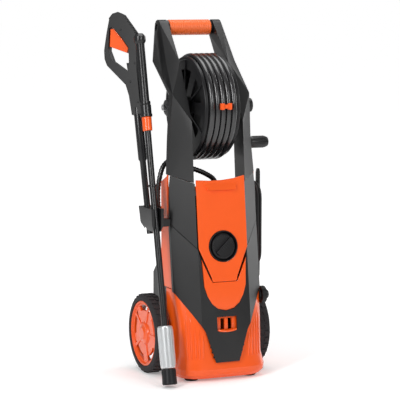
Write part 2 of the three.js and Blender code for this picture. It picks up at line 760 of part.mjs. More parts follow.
function turnedAbout([y, z], [pivotY, pivotZ], angle) {
  const dy = y - pivotY;
  const dz = z - pivotZ;
  return [
    pivotY + dy * Math.cos(angle) - dz * Math.sin(angle),
    pivotZ + dy * Math.sin(angle) + dz * Math.cos(angle),
  ];
}

// The corners that the trigger passes through as it is pulled, with the gap round each.
function sweptTrigger() {
  const swept = [];
  for (let step = 0; step <= 6; step++) {
    const angle = (TRIGGER_TRAVEL * step) / 6;
    for (const corner of GUN_TRIGGER) {
      const [y, z] = turnedAbout(corner, TRIGGER_PIVOT, angle);
      swept.push([y - GAP, z], [y + GAP, z], [y, z - GAP], [y, z + GAP]);
    }
  }
  return swept;
}

function makeGun() {
  const gun = new THREE.Group();
  gun.position.set(LANCE_X, GUN_FOOT_Y, GUN_FOOT_Z);
  gun.rotation.x = -GUN_LEAN;
  machine.add(gun);
  const held = new THREE.Group();
  held.rotation.z = GUN_YAW;
  gun.add(held);
  const window = slab(outlineOf(GUN_WINDOW), 'x', -40, 40);
  const body = slab(outlineOf(GUN_BODY), 'x', -11, 11);
  const gripPoints = [
    [-16, 455], [-21, 498], [-17, 510], [13, 562], [22, 568], [38, 566], [49, 556], [46, 533], [18, 500],
  ];
  const grip = slab(outlineOf(gripPoints), 'x', -14, 14);
  const socket = rod(11.4, 'z', 290, 318, [0, 0, 0], 20);
  const channel = hull(sweptTrigger().flatMap(([y, z]) => [[-8.8, y, z], [8.8, y, z]]));
  piece('gun_body', cut(join(body, grip), window, socket, channel), BLACK, 0.5, 0, held);
  const trigger = hull(GUN_TRIGGER.flatMap(([y, z]) => [[-8, y, z], [8, y, z]]));
  piece('gun_trigger', trigger, ORANGE, 0.4, 0, held);
  const barrel = [[0, -4], [8, -4], [8, 180], [11, 186], [11, 317.6], [0, 317.6]];
  piece('gun_barrel', turned(barrel, 'z', 20), DARK, 0.4, 0, held);
  piece('trigger_lock', slab(outlineOf(TRIGGER_LOCK), 'x', -4, 4), DARK, 0.5, 0, held);
}

// ---- connecting hose and power cord ----
function makeConnectingHose() {
  const route = [
    [-120, 6, 430.4], [-120, 5, 480], [-106, 4, 532], [-76, 2, 548], [-40, -2, 528], [0, -6, 512],
    [28, -8, 494], [37, -8, 470], [38.5, -8, 455],
  ];
  piece('connecting_hose', tube(route, 7, 8, 24), DARK, 0.6);
  const socket = turned([[0, 398], [11, 398], [11, 422], [8, 430], [0, 430]], 'z', 16, [-120, 6, 0]);
  const stub = cut(rod(8, 'x', -120, -70, [0, 6, 410], 16), towerLoft(380, 440, -GAP));
  piece('hose_coupling', join(socket, stub), BLACK, 0.5);
}

function makeHooks() {
  for (const [name, z, up] of [['upper_cord_hook', HOOK_UPPER_Z, 1], ['lower_cord_hook', HOOK_LOWER_Z, -1]]) {
    const post = rod(5.5, 'x', BODY_HALF + GAP, 156, [0, HANK_Y, z], 16);
    const lip = outlineOf([
      [-8, -8 * up], [8, -8 * up], [7, 52 * up], [3, 60 * up], [-3, 60 * up], [-7, 52 * up],
    ]);
    piece(name, join(post, slab(lip, 'x', 149, 156).translate([0, HANK_Y, z])), BLACK, 0.5);
  }
}

function stadium(width, height) {
  const shape = new THREE.Shape();
  const r = width / 2;
  shape.absarc(0, height / 2 - r, r, 0, Math.PI);
  shape.absarc(0, -height / 2 + r, r, Math.PI, 2 * Math.PI);
  return shape;
}

function makePowerCord() {
  const height = HANK_TOP - HANK_BOTTOM;
  const centre = [0, HANK_Y, (HANK_TOP + HANK_BOTTOM) / 2];
  const band = HANK_LAYERS * CORD_D;
  const outer = slab(stadium(HANK_WIDTH, height), 'x', HANK_X, HANK_X + band);
  const inner = slab(stadium(HANK_WIDTH - 2 * band, height - 2 * band), 'x', HANK_X - 1, HANK_X + band + 1);
  piece('power_cord_hank', cut(outer, inner).translate(centre), DARK, 0.6);
  const tail = [
    [120.6, 62, 236], [132, 60, 236], [142, 52, 236], [145, 40, 236], [143, 25, 236.5],
    [138.5, 10, 238], [135.5, -2, 244], [134.5, -9, 252], [134.5, -12, 261.6],
  ];
  piece('power_cord_tail', tube(tail, CORD_D / 2, 8, 20), DARK, 0.6);
  const lead = [
    [134.5, PLUG_Y, 347.4], [134.5, PLUG_Y, 372], [134.5, PLUG_Y - 3.2, 384],
    [134.5, PLUG_Y - 12, 392.8], [134.5, PLUG_Y - 23.8, 396],
  ];
  piece('plug_lead', tube(lead, CORD_D / 2, 8, 12), DARK, 0.6);
  const body = join(block(-17, 17, -19, 19, 0, 22), rod(9, 'z', 20, 47, [0, 0, 0], 16));
  const pins = [-9.5, 9.5].map((y) => rod(2.4, 'z', -19, 2, [0, y, 0], 10));
  piece('plug', join(body, ...pins).translate([134.5, PLUG_Y, 300]), DARK, 0.6);
}

makeTub();
makeFeet();
makeFairing();
makeCovers();
makeColumns();
makeRearShell();
makeRearHousing();
makeTopDeck();
makeUprights();
makeArms();
makeHandle();
makeReelBrackets();
makeReel();
makeCrank();
makeWheel(-1, 'left');
makeWheel(1, 'right');
piece('wheel_axle', rod(AXLE_R, 'x', -155.4, 155.4, [0, WHEEL_Y, WHEEL_R]), STEEL, 0.3, 0.9);
makeKnob();
makeDrive();
makeInlet();
makeHolder();
makeLance();
makeGun();
makeConnectingHose();
makeHooks();
makePowerCord();

export default washer;
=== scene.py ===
"""An upright pressure washer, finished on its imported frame."""
import json
import math

import bmesh
import bpy
from mathutils import Matrix, Vector
from mathutils.bvhtree import BVHTree

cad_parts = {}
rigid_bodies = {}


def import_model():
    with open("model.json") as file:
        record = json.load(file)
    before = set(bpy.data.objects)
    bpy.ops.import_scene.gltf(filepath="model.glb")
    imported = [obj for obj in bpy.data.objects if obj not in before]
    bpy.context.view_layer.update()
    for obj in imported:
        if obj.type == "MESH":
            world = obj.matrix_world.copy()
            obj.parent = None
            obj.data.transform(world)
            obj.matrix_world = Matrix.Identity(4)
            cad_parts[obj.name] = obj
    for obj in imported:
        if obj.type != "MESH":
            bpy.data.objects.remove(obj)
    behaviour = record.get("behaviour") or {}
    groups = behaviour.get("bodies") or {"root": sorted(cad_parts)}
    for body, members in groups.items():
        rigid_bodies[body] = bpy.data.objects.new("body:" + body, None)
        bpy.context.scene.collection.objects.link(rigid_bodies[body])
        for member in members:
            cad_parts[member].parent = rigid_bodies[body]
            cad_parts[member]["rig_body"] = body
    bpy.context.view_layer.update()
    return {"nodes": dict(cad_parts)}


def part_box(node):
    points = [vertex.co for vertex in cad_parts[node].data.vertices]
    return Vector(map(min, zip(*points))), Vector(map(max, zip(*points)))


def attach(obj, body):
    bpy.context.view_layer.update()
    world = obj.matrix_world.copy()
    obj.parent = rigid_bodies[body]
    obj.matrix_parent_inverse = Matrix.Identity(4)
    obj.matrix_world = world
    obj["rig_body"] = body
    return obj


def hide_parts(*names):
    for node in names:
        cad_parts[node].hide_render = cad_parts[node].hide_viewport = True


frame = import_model()

# ---------------------------------------------------------------- floor, camera and light
# The washer stands on a plain pale floor that runs off into a white room. The camera stands to
# the left of the front at chest height, and four soft panels light the machine. The floor glows
# less near the machine, so that its soft shadow shows there and the horizon doesn't.
EYE_TURN = math.radians(-24)
EYE_DISTANCE = 4.5
EYE_HEIGHT = 0.98
LOOK_AT = Vector((0.0, 0.0, 0.444))
ROOM_GLOW = 0.30
SEEN_ROOM_GLOW = 1.0
NEAR_GLOW = 0.22
FAR_GLOW = 0.72
FLOOR_BOUNCE = 0.10
NEAR_REACH = 0.7
FAR_REACH = 2.6
FLOOR_HALF = 40
FLOOR_WHITE = (0.93, 0.93, 0.93, 1)
FLOOR_ROUGH = 0.9
LENS_MM = 160
SENSOR_MM = 36


def lit_where_seen(tree, unseen, seen):
    """A strength that is higher for what the camera sees directly than for the light it casts."""
    camera_ray = tree.nodes.new("ShaderNodeLightPath").outputs["Is Camera Ray"]
    dimmer = tree.nodes.new("ShaderNodeMapRange")
    dimmer.inputs["To Min"].default_value = unseen
    dimmer.inputs["To Max"].default_value = seen
    tree.links.new(camera_ray, dimmer.inputs["Value"])
    return dimmer.outputs["Result"]


def pale_floor():
    bm = bmesh.new()
    bmesh.ops.create_grid(bm, x_segments=1, y_segments=1, size=FLOOR_HALF)
    mesh = bpy.data.meshes.new("floor")
    bm.to_mesh(mesh)
    bm.free()
    floor = bpy.data.objects.new("floor", mesh)
    bpy.context.scene.collection.objects.link(floor)
    paint = bpy.data.materials.new("floor_white")
    paint.use_nodes = True
    shader = paint.node_tree.nodes["Principled BSDF"]
    shader.inputs["Base Color"].default_value = FLOOR_WHITE
    shader.inputs["Roughness"].default_value = FLOOR_ROUGH
    shader.inputs["Emission Color"].default_value = (1, 1, 1, 1)
    tree = paint.node_tree
    place = tree.nodes.new("ShaderNodeTexCoord").outputs["Object"]
    reach = tree.nodes.new("ShaderNodeVectorMath")
    reach.operation = "LENGTH"
    tree.links.new(place, reach.inputs[0])
    rise = tree.nodes.new("ShaderNodeMapRange")
    tree.links.new(reach.outputs["Value"], rise.inputs["Value"])
    limits = {"From Min": NEAR_REACH, "From Max": FAR_REACH, "To Min": NEAR_GLOW, "To Max": FAR_GLOW}
    for entry, value in limits.items():
        rise.inputs[entry].default_value = value
    glow = lit_where_seen(tree, FLOOR_BOUNCE, FAR_GLOW)
    tree.links.new(rise.outputs["Result"], glow.node.inputs["To Max"])
    tree.links.new(glow, shader.inputs["Emission Strength"])
    mesh.materials.append(paint)


def soft_panel(name, place, aim, size, power):
    lamp = bpy.data.lights.new(name, "AREA")
    lamp.shape = "RECTANGLE"
    lamp.size, lamp.size_y = size
    lamp.energy = power
    panel = bpy.data.objects.new(name, lamp)
    panel.location = place
    panel.rotation_euler = (Vector(aim) - Vector(place)).to_track_quat("-Z", "Y").to_euler()
    bpy.context.scene.collection.objects.link(panel)


pale_floor()
soft_panel("left_panel", (-2.6, -1.7, 1.9), (0, 0, 0.5), (0.5, 2.0), 58)
soft_panel("front_panel", (0.6, -3.4, 1.9), (0, 0, 0.4), (1.2, 1.2), 30)
soft_panel("top_panel", (0.2, 0.4, 3.0), (0, 0, 0.4), (2.0, 2.0), 40)
soft_panel("right_strip", (2.6, 0.4, 1.2), (0, 0, 0.5), (0.4, 2.2), 18)
room = bpy.data.worlds.new("white_room")
room.use_nodes = True
walls = room.node_tree.nodes["Background"]
walls.inputs["Color"].default_value = (1, 1, 1, 1)
room.node_tree.links.new(lit_where_seen(room.node_tree, ROOM_GLOW, SEEN_ROOM_GLOW), walls.inputs["Strength"])
bpy.context.scene.world = room
bpy.context.scene.view_settings.view_transform = "Standard"

lens = bpy.data.cameras.new("eye")
lens.lens = LENS_MM
lens.sensor_width = SENSOR_MM
eye = bpy.data.objects.new("eye", lens)
eye.location = LOOK_AT + Vector((
    EYE_DISTANCE * math.sin(EYE_TURN),
    -EYE_DISTANCE * math.cos(EYE_TURN),
    EYE_HEIGHT - LOOK_AT.z,
))
eye.rotation_euler = (LOOK_AT - eye.location).to_track_quat("-Z", "Y").to_euler()
bpy.context.scene.collection.objects.link(eye)
bpy.context.scene.camera = eye

# ---------------------------------------------------------------- power cord, its plug and their rubber
# A round rubber-jacketed mains cord leaves a gland at the back, is wound nine times round the two
# side hooks in three layers of three, and ends in a moulded two-pin plug that hangs beside them.
MM = 0.001
SAME_PLACE = 2e-5
FLAT_ANGLE = 0.6
CLOUD_SCALE = 11.0
DULL_SHARE = 0.93
RELIEF_STRENGTH = 0.5
COAT_ROUGH = 0.12
CORD_D = 7.5
TURN_X = (126.75, 134.25, 141.75)
LAYER_RADII = (22.5, 30.0, 37.5)
HANK_Y = -12.0
LOWER_CENTRE_Z = 303.25
UPPER_CENTRE_Z = 444.75
ARC_POINTS = 12
REEL_LOW, REEL_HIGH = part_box("reel_drum")
MACHINE = Vector(((REEL_LOW.x + REEL_HIGH.x) / 2, (REEL_LOW.y + REEL_HIGH.y) / 2, 0))


def at(x, y, z):
    """A place on the machine, in millimetres from the floor under the middle of the reel."""
    return MACHINE + Vector((x, y, z)) * MM


class Tone:
    """A value in a finish's nodes. Arithmetic on it adds Math nodes."""

    def __init__(self, tree, socket=None):
        self.tree = tree
        self.socket = socket

    def node(self, kind, settings=None, sockets=None, out=0):
        made = self.tree.nodes.new(kind)
        for name, value in (settings or {}).items():
            setattr(made, name, value)
        for name, value in (sockets or {}).items():
            self.feed(made.inputs[name], value)
        return Tone(self.tree, made.outputs[out])

    def feed(self, entry, value):
        if isinstance(value, Tone):
            self.tree.links.new(value.socket, entry)
        else:
            entry.default_value = value

    def worked(self, operation, other):
        return self.node("ShaderNodeMath", {"operation": operation}, {0: self, 1: other})

    def __add__(self, other):
        return self.worked("ADD", other)

    def __sub__(self, other):
        return self.worked("SUBTRACT", other)

    def __mul__(self, other):
        return self.worked("MULTIPLY", other)


def moulding(name, colour, rough, grain=900.0, depth=0.00003, spread=0.10, metal=0.0, coat=0.0, shine=0.5):
    """A moulded or cast surface: one colour, a fine grain, and a gloss that wanders a little."""
    finish = bpy.data.materials.new(name + "_finish")
    finish["slot"] = name
    finish.use_nodes = True
    shader = finish.node_tree.nodes["Principled BSDF"]
    tone = Tone(finish.node_tree)
    place = tone.node("ShaderNodeTexCoord", out="Object")
    cloud = tone.node("ShaderNodeTexNoise", {}, {"Vector": place, "Scale": CLOUD_SCALE, "Detail": 3.0})
    fine = tone.node("ShaderNodeTexNoise", {}, {"Vector": place, "Scale": grain, "Detail": 2.0})
    dull = tuple(channel * DULL_SHARE for channel in colour) + (1,)
    mixed = tone.node(
        "ShaderNodeMix",
        {"data_type": "RGBA"},
        {"Factor": cloud, 6: dull, 7: (*colour, 1)},
        out=2,
    )
    relief = tone.node("ShaderNodeBump", {}, {"Strength": RELIEF_STRENGTH, "Distance": depth, "Height": fine})
    tone.feed(shader.inputs["Base Color"], mixed)
    tone.feed(shader.inputs["Roughness"], (cloud - 0.5) * spread + rough)
    tone.feed(shader.inputs["Normal"], relief)
    shader.inputs["Metallic"].default_value = metal
    shader.inputs["Specular IOR Level"].default_value = shine
    shader.inputs["Coat Weight"].default_value = coat
    shader.inputs["Coat Roughness"].default_value = COAT_ROUGH
    return finish


cord_rubber = moulding("cord_rubber", (0.012, 0.012, 0.013), 0.55, grain=600)


def shade(mesh, angle=35.0):
    """Smooth faces that meet at less than the angle, and leave the sharper edges crisp."""
    mesh.shade_smooth()
    bm = bmesh.new()
    bm.from_mesh(mesh)
    for edge in bm.edges:
        edge.smooth = edge.is_manifold and edge.calc_face_angle(0) < math.radians(angle)
    bm.to_mesh(mesh)
    bm.free()


def soften(piece, edge, segments=2, angle=32.0):
    """The small round that a mould leaves on every sharp edge."""
    rounding = piece.modifiers.new("rounding", "BEVEL")
    rounding.width = edge * MM
    rounding.segments = segments
    rounding.limit_method = "ANGLE"
    rounding.angle_limit = math.radians(angle)
    rounding.harden_normals = True


def put(name, bm, finish, body, edge=0.0, angle=32.0, crisp=35.0, where=None):
    """Makes a finished piece of a bmesh drawn in millimetres, or in metres where it has no place."""
    if where is not None:
        bmesh.ops.transform(bm, matrix=where @ Matrix.Scale(MM, 4), verts=bm.verts)
    mesh = bpy.data.meshes.new(name)
    bm.to_mesh(mesh)
    bm.free()
    shade(mesh, crisp)
    mesh.materials.append(finish)
    piece = bpy.data.objects.new(name, mesh)
    bpy.context.scene.collection.objects.link(piece)
    if edge:
        soften(piece, edge, angle=angle)
    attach(piece, body)
    return piece


def dressed(node, finish, edge, angle=32.0, crisp=35.0, segments=2):
    """A copy of a frame node with merged corners and rounded edges, which stands for the node."""
    source = frame["nodes"][node]
    bm = bmesh.new()
    bm.from_mesh(source.data)
    bmesh.ops.remove_doubles(bm, verts=bm.verts, dist=SAME_PLACE)
    bmesh.ops.dissolve_limit(
        bm,
        angle_limit=math.radians(FLAT_ANGLE),
        verts=bm.verts,
        edges=bm.edges,
        use_dissolve_boundaries=False,
    )
    for layer in list(bm.loops.layers.uv):
        bm.loops.layers.uv.remove(layer)
    mesh = bpy.data.meshes.new(node + "_skin")
    bm.to_mesh(mesh)
    bm.free()
    shade(mesh, crisp)
    mesh.materials.append(finish)
    piece = bpy.data.objects.new(node + "_skin", mesh)
    bpy.context.scene.collection.objects.link(piece)
    if edge:
        soften(piece, edge, segments, angle)
    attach(piece, source["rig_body"])
    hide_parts(node)
    return piece


def hank_points():
    """The centre line of all nine turns, inner layer first, working out to the last turn."""
    order = []
    for layer, radius in enumerate(LAYER_RADII):
        across = TURN_X if layer % 2 == 0 else tuple(reversed(TURN_X))
        order += [(x, radius) for x in across]
    points = []
    for index, (x, radius) in enumerate(order):
        next_x, next_radius = order[min(index + 1, len(order) - 1)]
        for step in range(ARC_POINTS + 1):
            angle = math.pi * step / ARC_POINTS
            points.append((x, HANK_Y - radius * math.cos(angle), UPPER_CENTRE_Z + radius * math.sin(angle)))
        if index == len(order) - 1:
            break
        for step in range(ARC_POINTS + 1):
            share = step / ARC_POINTS
            ease = share * share * (3 - 2 * share)
            bend = radius + (next_radius - radius) * ease
            slide = x + (next_x - x) * ease
            angle = math.pi * share
            points.append((slide, HANK_Y + bend * math.cos(angle), LOWER_CENTRE_Z - bend * math.sin(angle)))
    return points


TAIL = [
    (120.6, 62, 236), (126, 61.6, 236), (132, 60, 236), (137.5, 56.5, 236), (142, 52, 236),
    (144.4, 46.5, 236), (145, 40, 236), (144.5, 32, 236.2), (143, 25, 236.8), (141, 17, 238.5),
    (138, 8, 242.5), (134.5, 0, 249), (131, -8, 259), (128.4, -16, 271), (127.2, -24, 284),
    (126.75, -30.2, 296),
]
LEAD = [
    (141.2, 25.6, 428), (139.5, 26.8, 417), (137.4, 30.0, 407), (135.6, 35.4, 398.5),
    (134.7, 41.8, 391.5), (134.5, 47.4, 384.5), (134.5, 51.6, 376), (134.5, 53.6, 366),
    (134.5, 54, 356), (134.5, 54, 347.4),
]


def cord_line(points, name, diameter, finish):
    curve = bpy.data.curves.new(name, "CURVE")
    curve.dimensions = "3D"
    curve.bevel_depth = diameter / 2 * MM
    curve.bevel_resolution = 2
    curve.use_fill_caps = True
    line = curve.splines.new("POLY")
    line.points.add(len(points) - 1)
    for knot, place in zip(line.points, points):
        knot.co = (*at(*place), 1)
    curve.materials.append(finish)
    piece = bpy.data.objects.new(name, curve)
    bpy.context.scene.collection.objects.link(piece)
    return piece


power_cord = cord_line([*TAIL, *hank_points(), *LEAD], "power_cord", CORD_D, cord_rubber)
plug = dressed("plug", cord_rubber, 1.6)
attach(power_cord, "chassis")
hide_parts("power_cord_tail", "power_cord_hank", "plug_lead")

# ---------------------------------------------------------------- base tub and feet
# The tub is one glossy orange moulding with a flared skirt. Pleats stiffen its front corners, an air
# slot with a rolled lip opens in its chin, and two rubber feet are pressed up into its floor.
PLEAT_X = (63, 72, 81, 90, 98)
PLEAT_FOOT_Z = 58.0
PLEAT_R = 3.4
CHIN_EDGE = ((58, 128), (121, 226))
LIP_HALF = 25.0
LIP_R = 2.6
LIP_Y = -157.4
LIP_Z = 127.0
LIP_FALL = 3.4
LIP_RISE = 3.0
LIP_STEPS = 12
PLEAT_STEPS = 8
PLEAT_STANDOFF = 1.4
PLEAT_TIP = 0.35
PLEAT_START = 0.12
CHIN_CLEARANCE = 12
WELL_IN_FRONT = -260

orange_plastic = moulding("orange_plastic", (0.96, 0.108, 0.006), 0.30, coat=0.6, shine=0.3)
foot_rubber = moulding("foot_rubber", (0.010, 0.010, 0.010), 0.8)
dressed("base_tub", orange_plastic, 3.0, angle=16, segments=3, crisp=40)
for node in ("left_front_foot", "right_front_foot"):
    dressed(node, foot_rubber, 0.8)


def surface_of(node):
    bm = bmesh.new()
    bm.from_mesh(frame["nodes"][node].data)
    tree = BVHTree.FromBMesh(bm)
    bm.free()
    return tree


def beads(name, lines, radius, finish, body):
    """Round beads along lines of (x, y, z, thickness share), all in one piece."""
    curve = bpy.data.curves.new(name, "CURVE")
    curve.dimensions = "3D"
    curve.bevel_depth = radius * MM
    curve.bevel_resolution = 2
    curve.use_fill_caps = True
    for points in lines:
        line = curve.splines.new("POLY")
        line.points.add(len(points) - 1)
        for knot, (x, y, z, share) in zip(line.points, points):
            knot.co = (*at(x, y, z), 1)
            knot.radius = share
    curve.materials.append(finish)
    piece = bpy.data.objects.new(name, curve)
    bpy.context.scene.collection.objects.link(piece)
    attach(piece, body)
    return piece


def front_of(tree, x, z):
    """Where a line from the front meets a surface, in machine millimetres."""
    hit = tree.ray_cast(at(x, WELL_IN_FRONT, z), Vector((0, 1, 0)))[0]
    return (hit - MACHINE).y / MM


tub_surface = surface_of("base_tub")
(edge_x, edge_z), (far_x, far_z) = CHIN_EDGE
pleats = []
for x in PLEAT_X:
    top = edge_z + (x - edge_x) * (far_z - edge_z) / (far_x - edge_x) - CHIN_CLEARANCE
    for side in (-1, 1):
        pleat = []
        for step in range(PLEAT_STEPS + 1):
            share = step / PLEAT_STEPS
            z = PLEAT_FOOT_Z + (top - PLEAT_FOOT_Z) * share
            swell = math.sin(math.pi * min(1, PLEAT_START + (1 - PLEAT_START) * share)) ** 0.5
            y = front_of(tub_surface, side * x, z) + PLEAT_STANDOFF
            pleat.append((side * x, y, z, PLEAT_TIP + (1 - PLEAT_TIP) * swell))
        pleats.append(pleat)
beads("tub_pleats", pleats, PLEAT_R, orange_plastic, "chassis")
lip = []
for step in range(LIP_STEPS + 1):
    share = 2 * step / LIP_STEPS - 1
    bow = share * share
    lip.append((LIP_HALF * share, LIP_Y + LIP_FALL * bow, LIP_Z + LIP_RISE * bow, 1))
beads("slot_lip", [lip], LIP_R, orange_plastic, "chassis")

# ---------------------------------------------------------------- wheels and axle
# Each wheel is an orange moulded rim with five arched windows and five ribs, pressed inside a solid
# black tyre with a barred tread. Both turn on one zinc-plated axle that passes through the housing.
WHEEL_Y = 20.0
WHEEL_Z = 102.0
WHEEL_INNER = 121.0
WHEEL_OUTER = 159.0
TYRE_R = 102.0
RIM_R = 84.4
LUGS = 36
LUG_SIZE = (13, 9, 3.2)
LUG_SWEEP = 0.22
LUG_STAGGER = 2.5
LUG_FROM_MIDDLE = 7.6
TREAD_DEPTH = 2.4
RIM_RIBS = 5
RIM_RIB_SIZE = (3.0, 8, 42)
RIM_RIB_X = 152.6
RIM_RIB_R = 51
RIM_TURN = 36 - math.degrees(0.3)
MERGE_GAP = 0.02
LUG_LIFT = 0.6
HUB_CAP = ((160.6, 0), (160.6, 9), (159.6, 11.5), (158, 12), (158, 0))

tyre_rubber = moulding("tyre_rubber", (0.016, 0.014, 0.016), 0.72, grain=420, depth=0.00008)
steel = moulding("steel", (0.60, 0.61, 0.62), 0.28, metal=1.0)


def spun(profile, steps=40):
    """A closed outline of (along, radius) corners, spun about the x axis in millimetres."""
    bm = bmesh.new()
    corners = [bm.verts.new((along, 0, radius)) for along, radius in profile]
    edges = [bm.edges.new(pair) for pair in zip(corners, corners[1:])]
    if profile[0][1] > 0 and profile[-1][1] > 0:
        edges.append(bm.edges.new((corners[-1], corners[0])))
    bmesh.ops.spin(
        bm,
        geom=corners + edges,
        cent=(0, 0, 0),
        axis=(1, 0, 0),
        angle=2 * math.pi,
        steps=steps,
        use_merge=True,
    )
    bmesh.ops.remove_doubles(bm, verts=bm.verts, dist=MERGE_GAP)
    bmesh.ops.recalc_face_normals(bm, faces=bm.faces)
    return bm


def add_block(bm, size, place):
    """A box of a size, put where a matrix says, into a bmesh that holds other shapes."""
    made = bmesh.ops.create_cube(bm, size=1)
    bmesh.ops.transform(bm, matrix=place @ Matrix.Diagonal((*size, 1)), verts=made["verts"])


def about(axis, degrees, offset):
    return Matrix.Rotation(math.radians(degrees), 4, axis) @ Matrix.Translation(offset)


for side, label in ((-1, "left"), (1, "right")):
    hub = Matrix.Translation(at(0, WHEEL_Y, WHEEL_Z))
    inner, outer = side * WHEEL_INNER, side * WHEEL_OUTER
    base = TYRE_R - TREAD_DEPTH
    profile = [
        (inner, RIM_R), (inner, base - 6), (inner + side * 2, base - 2), (inner + side * 6, base),
        (outer - side * 6, base), (outer - side * 2, base - 2), (outer, base - 6), (outer, RIM_R),
    ]
    bm = spun(profile, steps=56)
    for lug in range(LUGS):
        for half in (-1, 1):
            middle = (inner + outer) / 2 + half * LUG_FROM_MIDDLE
            turn = 360 * lug / LUGS + (LUG_STAGGER if half > 0 else 0)
            place = about("X", turn, (middle, 0, base + LUG_LIFT)) @ Matrix.Rotation(half * LUG_SWEEP, 4, "Z")
            add_block(bm, LUG_SIZE, place)
    tyre = put(label + "_tyre_tread", bm, tyre_rubber, label + "_wheel", where=hub)
    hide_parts(label + "_tyre")
    dressed(label + "_rim", orange_plastic, 1.2)
    bm = bmesh.new()
    for rib in range(RIM_RIBS):
        place = about("X", 360 * rib / RIM_RIBS + RIM_TURN, (side * RIM_RIB_X, 0, RIM_RIB_R))
        add_block(bm, RIM_RIB_SIZE, place)
    ribs = put(label + "_rim_ribs", bm, orange_plastic, label + "_wheel", edge=0.9, where=hub)
    cap = spun([(side * along, radius) for along, radius in HUB_CAP])
    hub_cap = put(label + "_hub_cap", cap, orange_plastic, label + "_wheel", where=hub)
dressed("wheel_axle", steel, 0.4)

# ---------------------------------------------------------------- motor, fan and pump
# An upright motor with a cast case stands on a cast gear case, whose brass pump head lies below. A
# moulded fan on the top of the shaft cools it. All of it is bolted to the tub and out of sight.
cast_aluminium = moulding("cast_aluminium", (0.36, 0.37, 0.38), 0.5, grain=300, depth=0.0001, metal=0.6)
brass = moulding("brass", (0.55, 0.36, 0.13), 0.35, metal=1.0)
dark_plastic = moulding("dark_plastic", (0.008, 0.008, 0.009), 0.38, shine=0.35)
black_plastic = moulding("black_plastic", (0.0075, 0.0075, 0.008), 0.34, depth=0.00004, shine=0.5)
for node, finish in (
    ("motor_body", cast_aluminium),
    ("pump_body", cast_aluminium),
    ("pump_head", brass),
    ("motor_shaft", steel),
    ("cooling_fan", black_plastic),
    ("switch_box", dark_plastic),
):
    dressed(node, finish, 0.8)

# ---------------------------------------------------------------- rear housing, shell and deck
# The black rear housing carries the axle and the cooling slots, and four cross-head screws hold
# it. The orange shell closes the tower above it, and a black deck closes the tower under the reel.
SCREW_R = 3.6
SCREW_HEIGHT = 1.8
CROSS_SIZE = (4.2, 0.9, 0.8)
CROSS_LIFT = 0.75
SCREW_X = 86
SCREW_Y = 87.2
SCREW_HEIGHTS = (78, 226)

dressed("rear_housing", black_plastic, 1.6)
dressed("rear_shell", orange_plastic, 1.5, angle=24)
dressed("top_deck", black_plastic, 0.6)


def screw_heads(name, places, axis_turn, body):
    """Cross-head screws with low domed heads, all in one piece, each turned to face its way out."""
    bm = bmesh.new()
    for x, y, z in places:
        place = Matrix.Translation(at(x, y, z) / MM) @ axis_turn
        head = bmesh.ops.create_cone(
            bm, cap_ends=True, segments=16, radius1=SCREW_R, radius2=SCREW_R * 0.7, depth=SCREW_HEIGHT
        )
        bmesh.ops.transform(bm, matrix=place, verts=head["verts"])
        for quarter in (0, 90):
            add_block(bm, CROSS_SIZE, place @ about("Z", quarter, (0, 0, CROSS_LIFT)))
    made = put(name, bm, steel, body, where=Matrix.Identity(4))


FACE_BACK = Matrix.Rotation(math.radians(-90), 4, "X")
housing_screws = [(x, SCREW_Y, z) for x in (-SCREW_X, SCREW_X) for z in SCREW_HEIGHTS]
screw_heads("housing_screws", housing_screws, FACE_BACK, "chassis")

# ---------------------------------------------------------------- front fairing and columns
# The black fairing wraps the tower's lower front and runs down into a chin over the tub. Two black
# columns rise from it beside the panel, and every joint between them has a fine rolled edge. Three
# small tabs clip each lower corner of the chin to the tub.
TAB_SIZE = (2.4, 4, 5)
TAB_LEAN = 0.3
TAB_FIRST = (37, -154.2, 62)
TAB_STEP = (4, 0, 13)

dressed("front_fairing", black_plastic, 2.2, angle=14, segments=3)
for node in ("left_column", "right_column"):
    dressed(node, black_plastic, 1.8, angle=14, segments=3)
for side, label in ((-1, "left"), (1, "right")):
    bm = bmesh.new()
    for tab in range(3):
        x, y, z = Vector(TAB_FIRST) + tab * Vector(TAB_STEP)
        place = Matrix.Translation(at(side * x, y, z) / MM)
        add_block(bm, TAB_SIZE, place @ Matrix.Rotation(TAB_LEAN * side, 4, "Y"))
    tabs = put("chin_clip_tabs_" + label, bm, dark_plastic, "chassis", edge=0.4, where=Matrix.Identity(4))

# ---------------------------------------------------------------- panel covers
# Two glossy orange covers clip into the fairing: a long panel round the switch, with a sloped brow
# near its top, and a tongue below it with a rounded foot and a ledge under the panel.
BROW_TOP = (-50, 48, 497)
BROW_FOOT = (-36, 36, 479)
BROW_SUNK = -0.6
BROW_PROUD = 8.0
BROW_ROOT = 1.5

dressed("centre_cover", orange_plastic, 2.2, angle=20, segments=3)
dressed("lower_cover", orange_plastic, 1.8, angle=20, segments=3)
cover_surface = surface_of("centre_cover")
bm = bmesh.new()
brow = []
for (left, right, z), proud in ((BROW_TOP, BROW_SUNK), (BROW_FOOT, BROW_PROUD)):
    for x in (left, right):
        face = front_of(cover_surface, x, z)
        brow.append(bm.verts.new(at(x, face - proud, z) / MM))
        brow.append(bm.verts.new(at(x, face + BROW_ROOT, z) / MM))
bmesh.ops.convex_hull(bm, input=brow)
cover_brow = put("cover_brow", bm, orange_plastic, "chassis", edge=0.8, where=Matrix.Identity(4))

# ---------------------------------------------------------------- power knob
# A dished black bezel sits in the panel and a black rotary knob turns in it, with a ribbed grip
# bar across its face and a ribbed rim to hold.
KNOB_R = 32.0
KNOB_RIBS = 30
KNOB_RIB_SIZE = (3.2, 2.2, 3.0)
KNOB_RIB_HEIGHT = 2.6
BAR_RIBS = 7
BAR_RIB_SIZE = (11, 1.4, 1.4)
BAR_RIB_PITCH = 6
BAR_RIB_HEIGHT = 12
PANEL_LEAN = math.atan(0.114)
KNOB_CENTRE = (0, -130, 338)

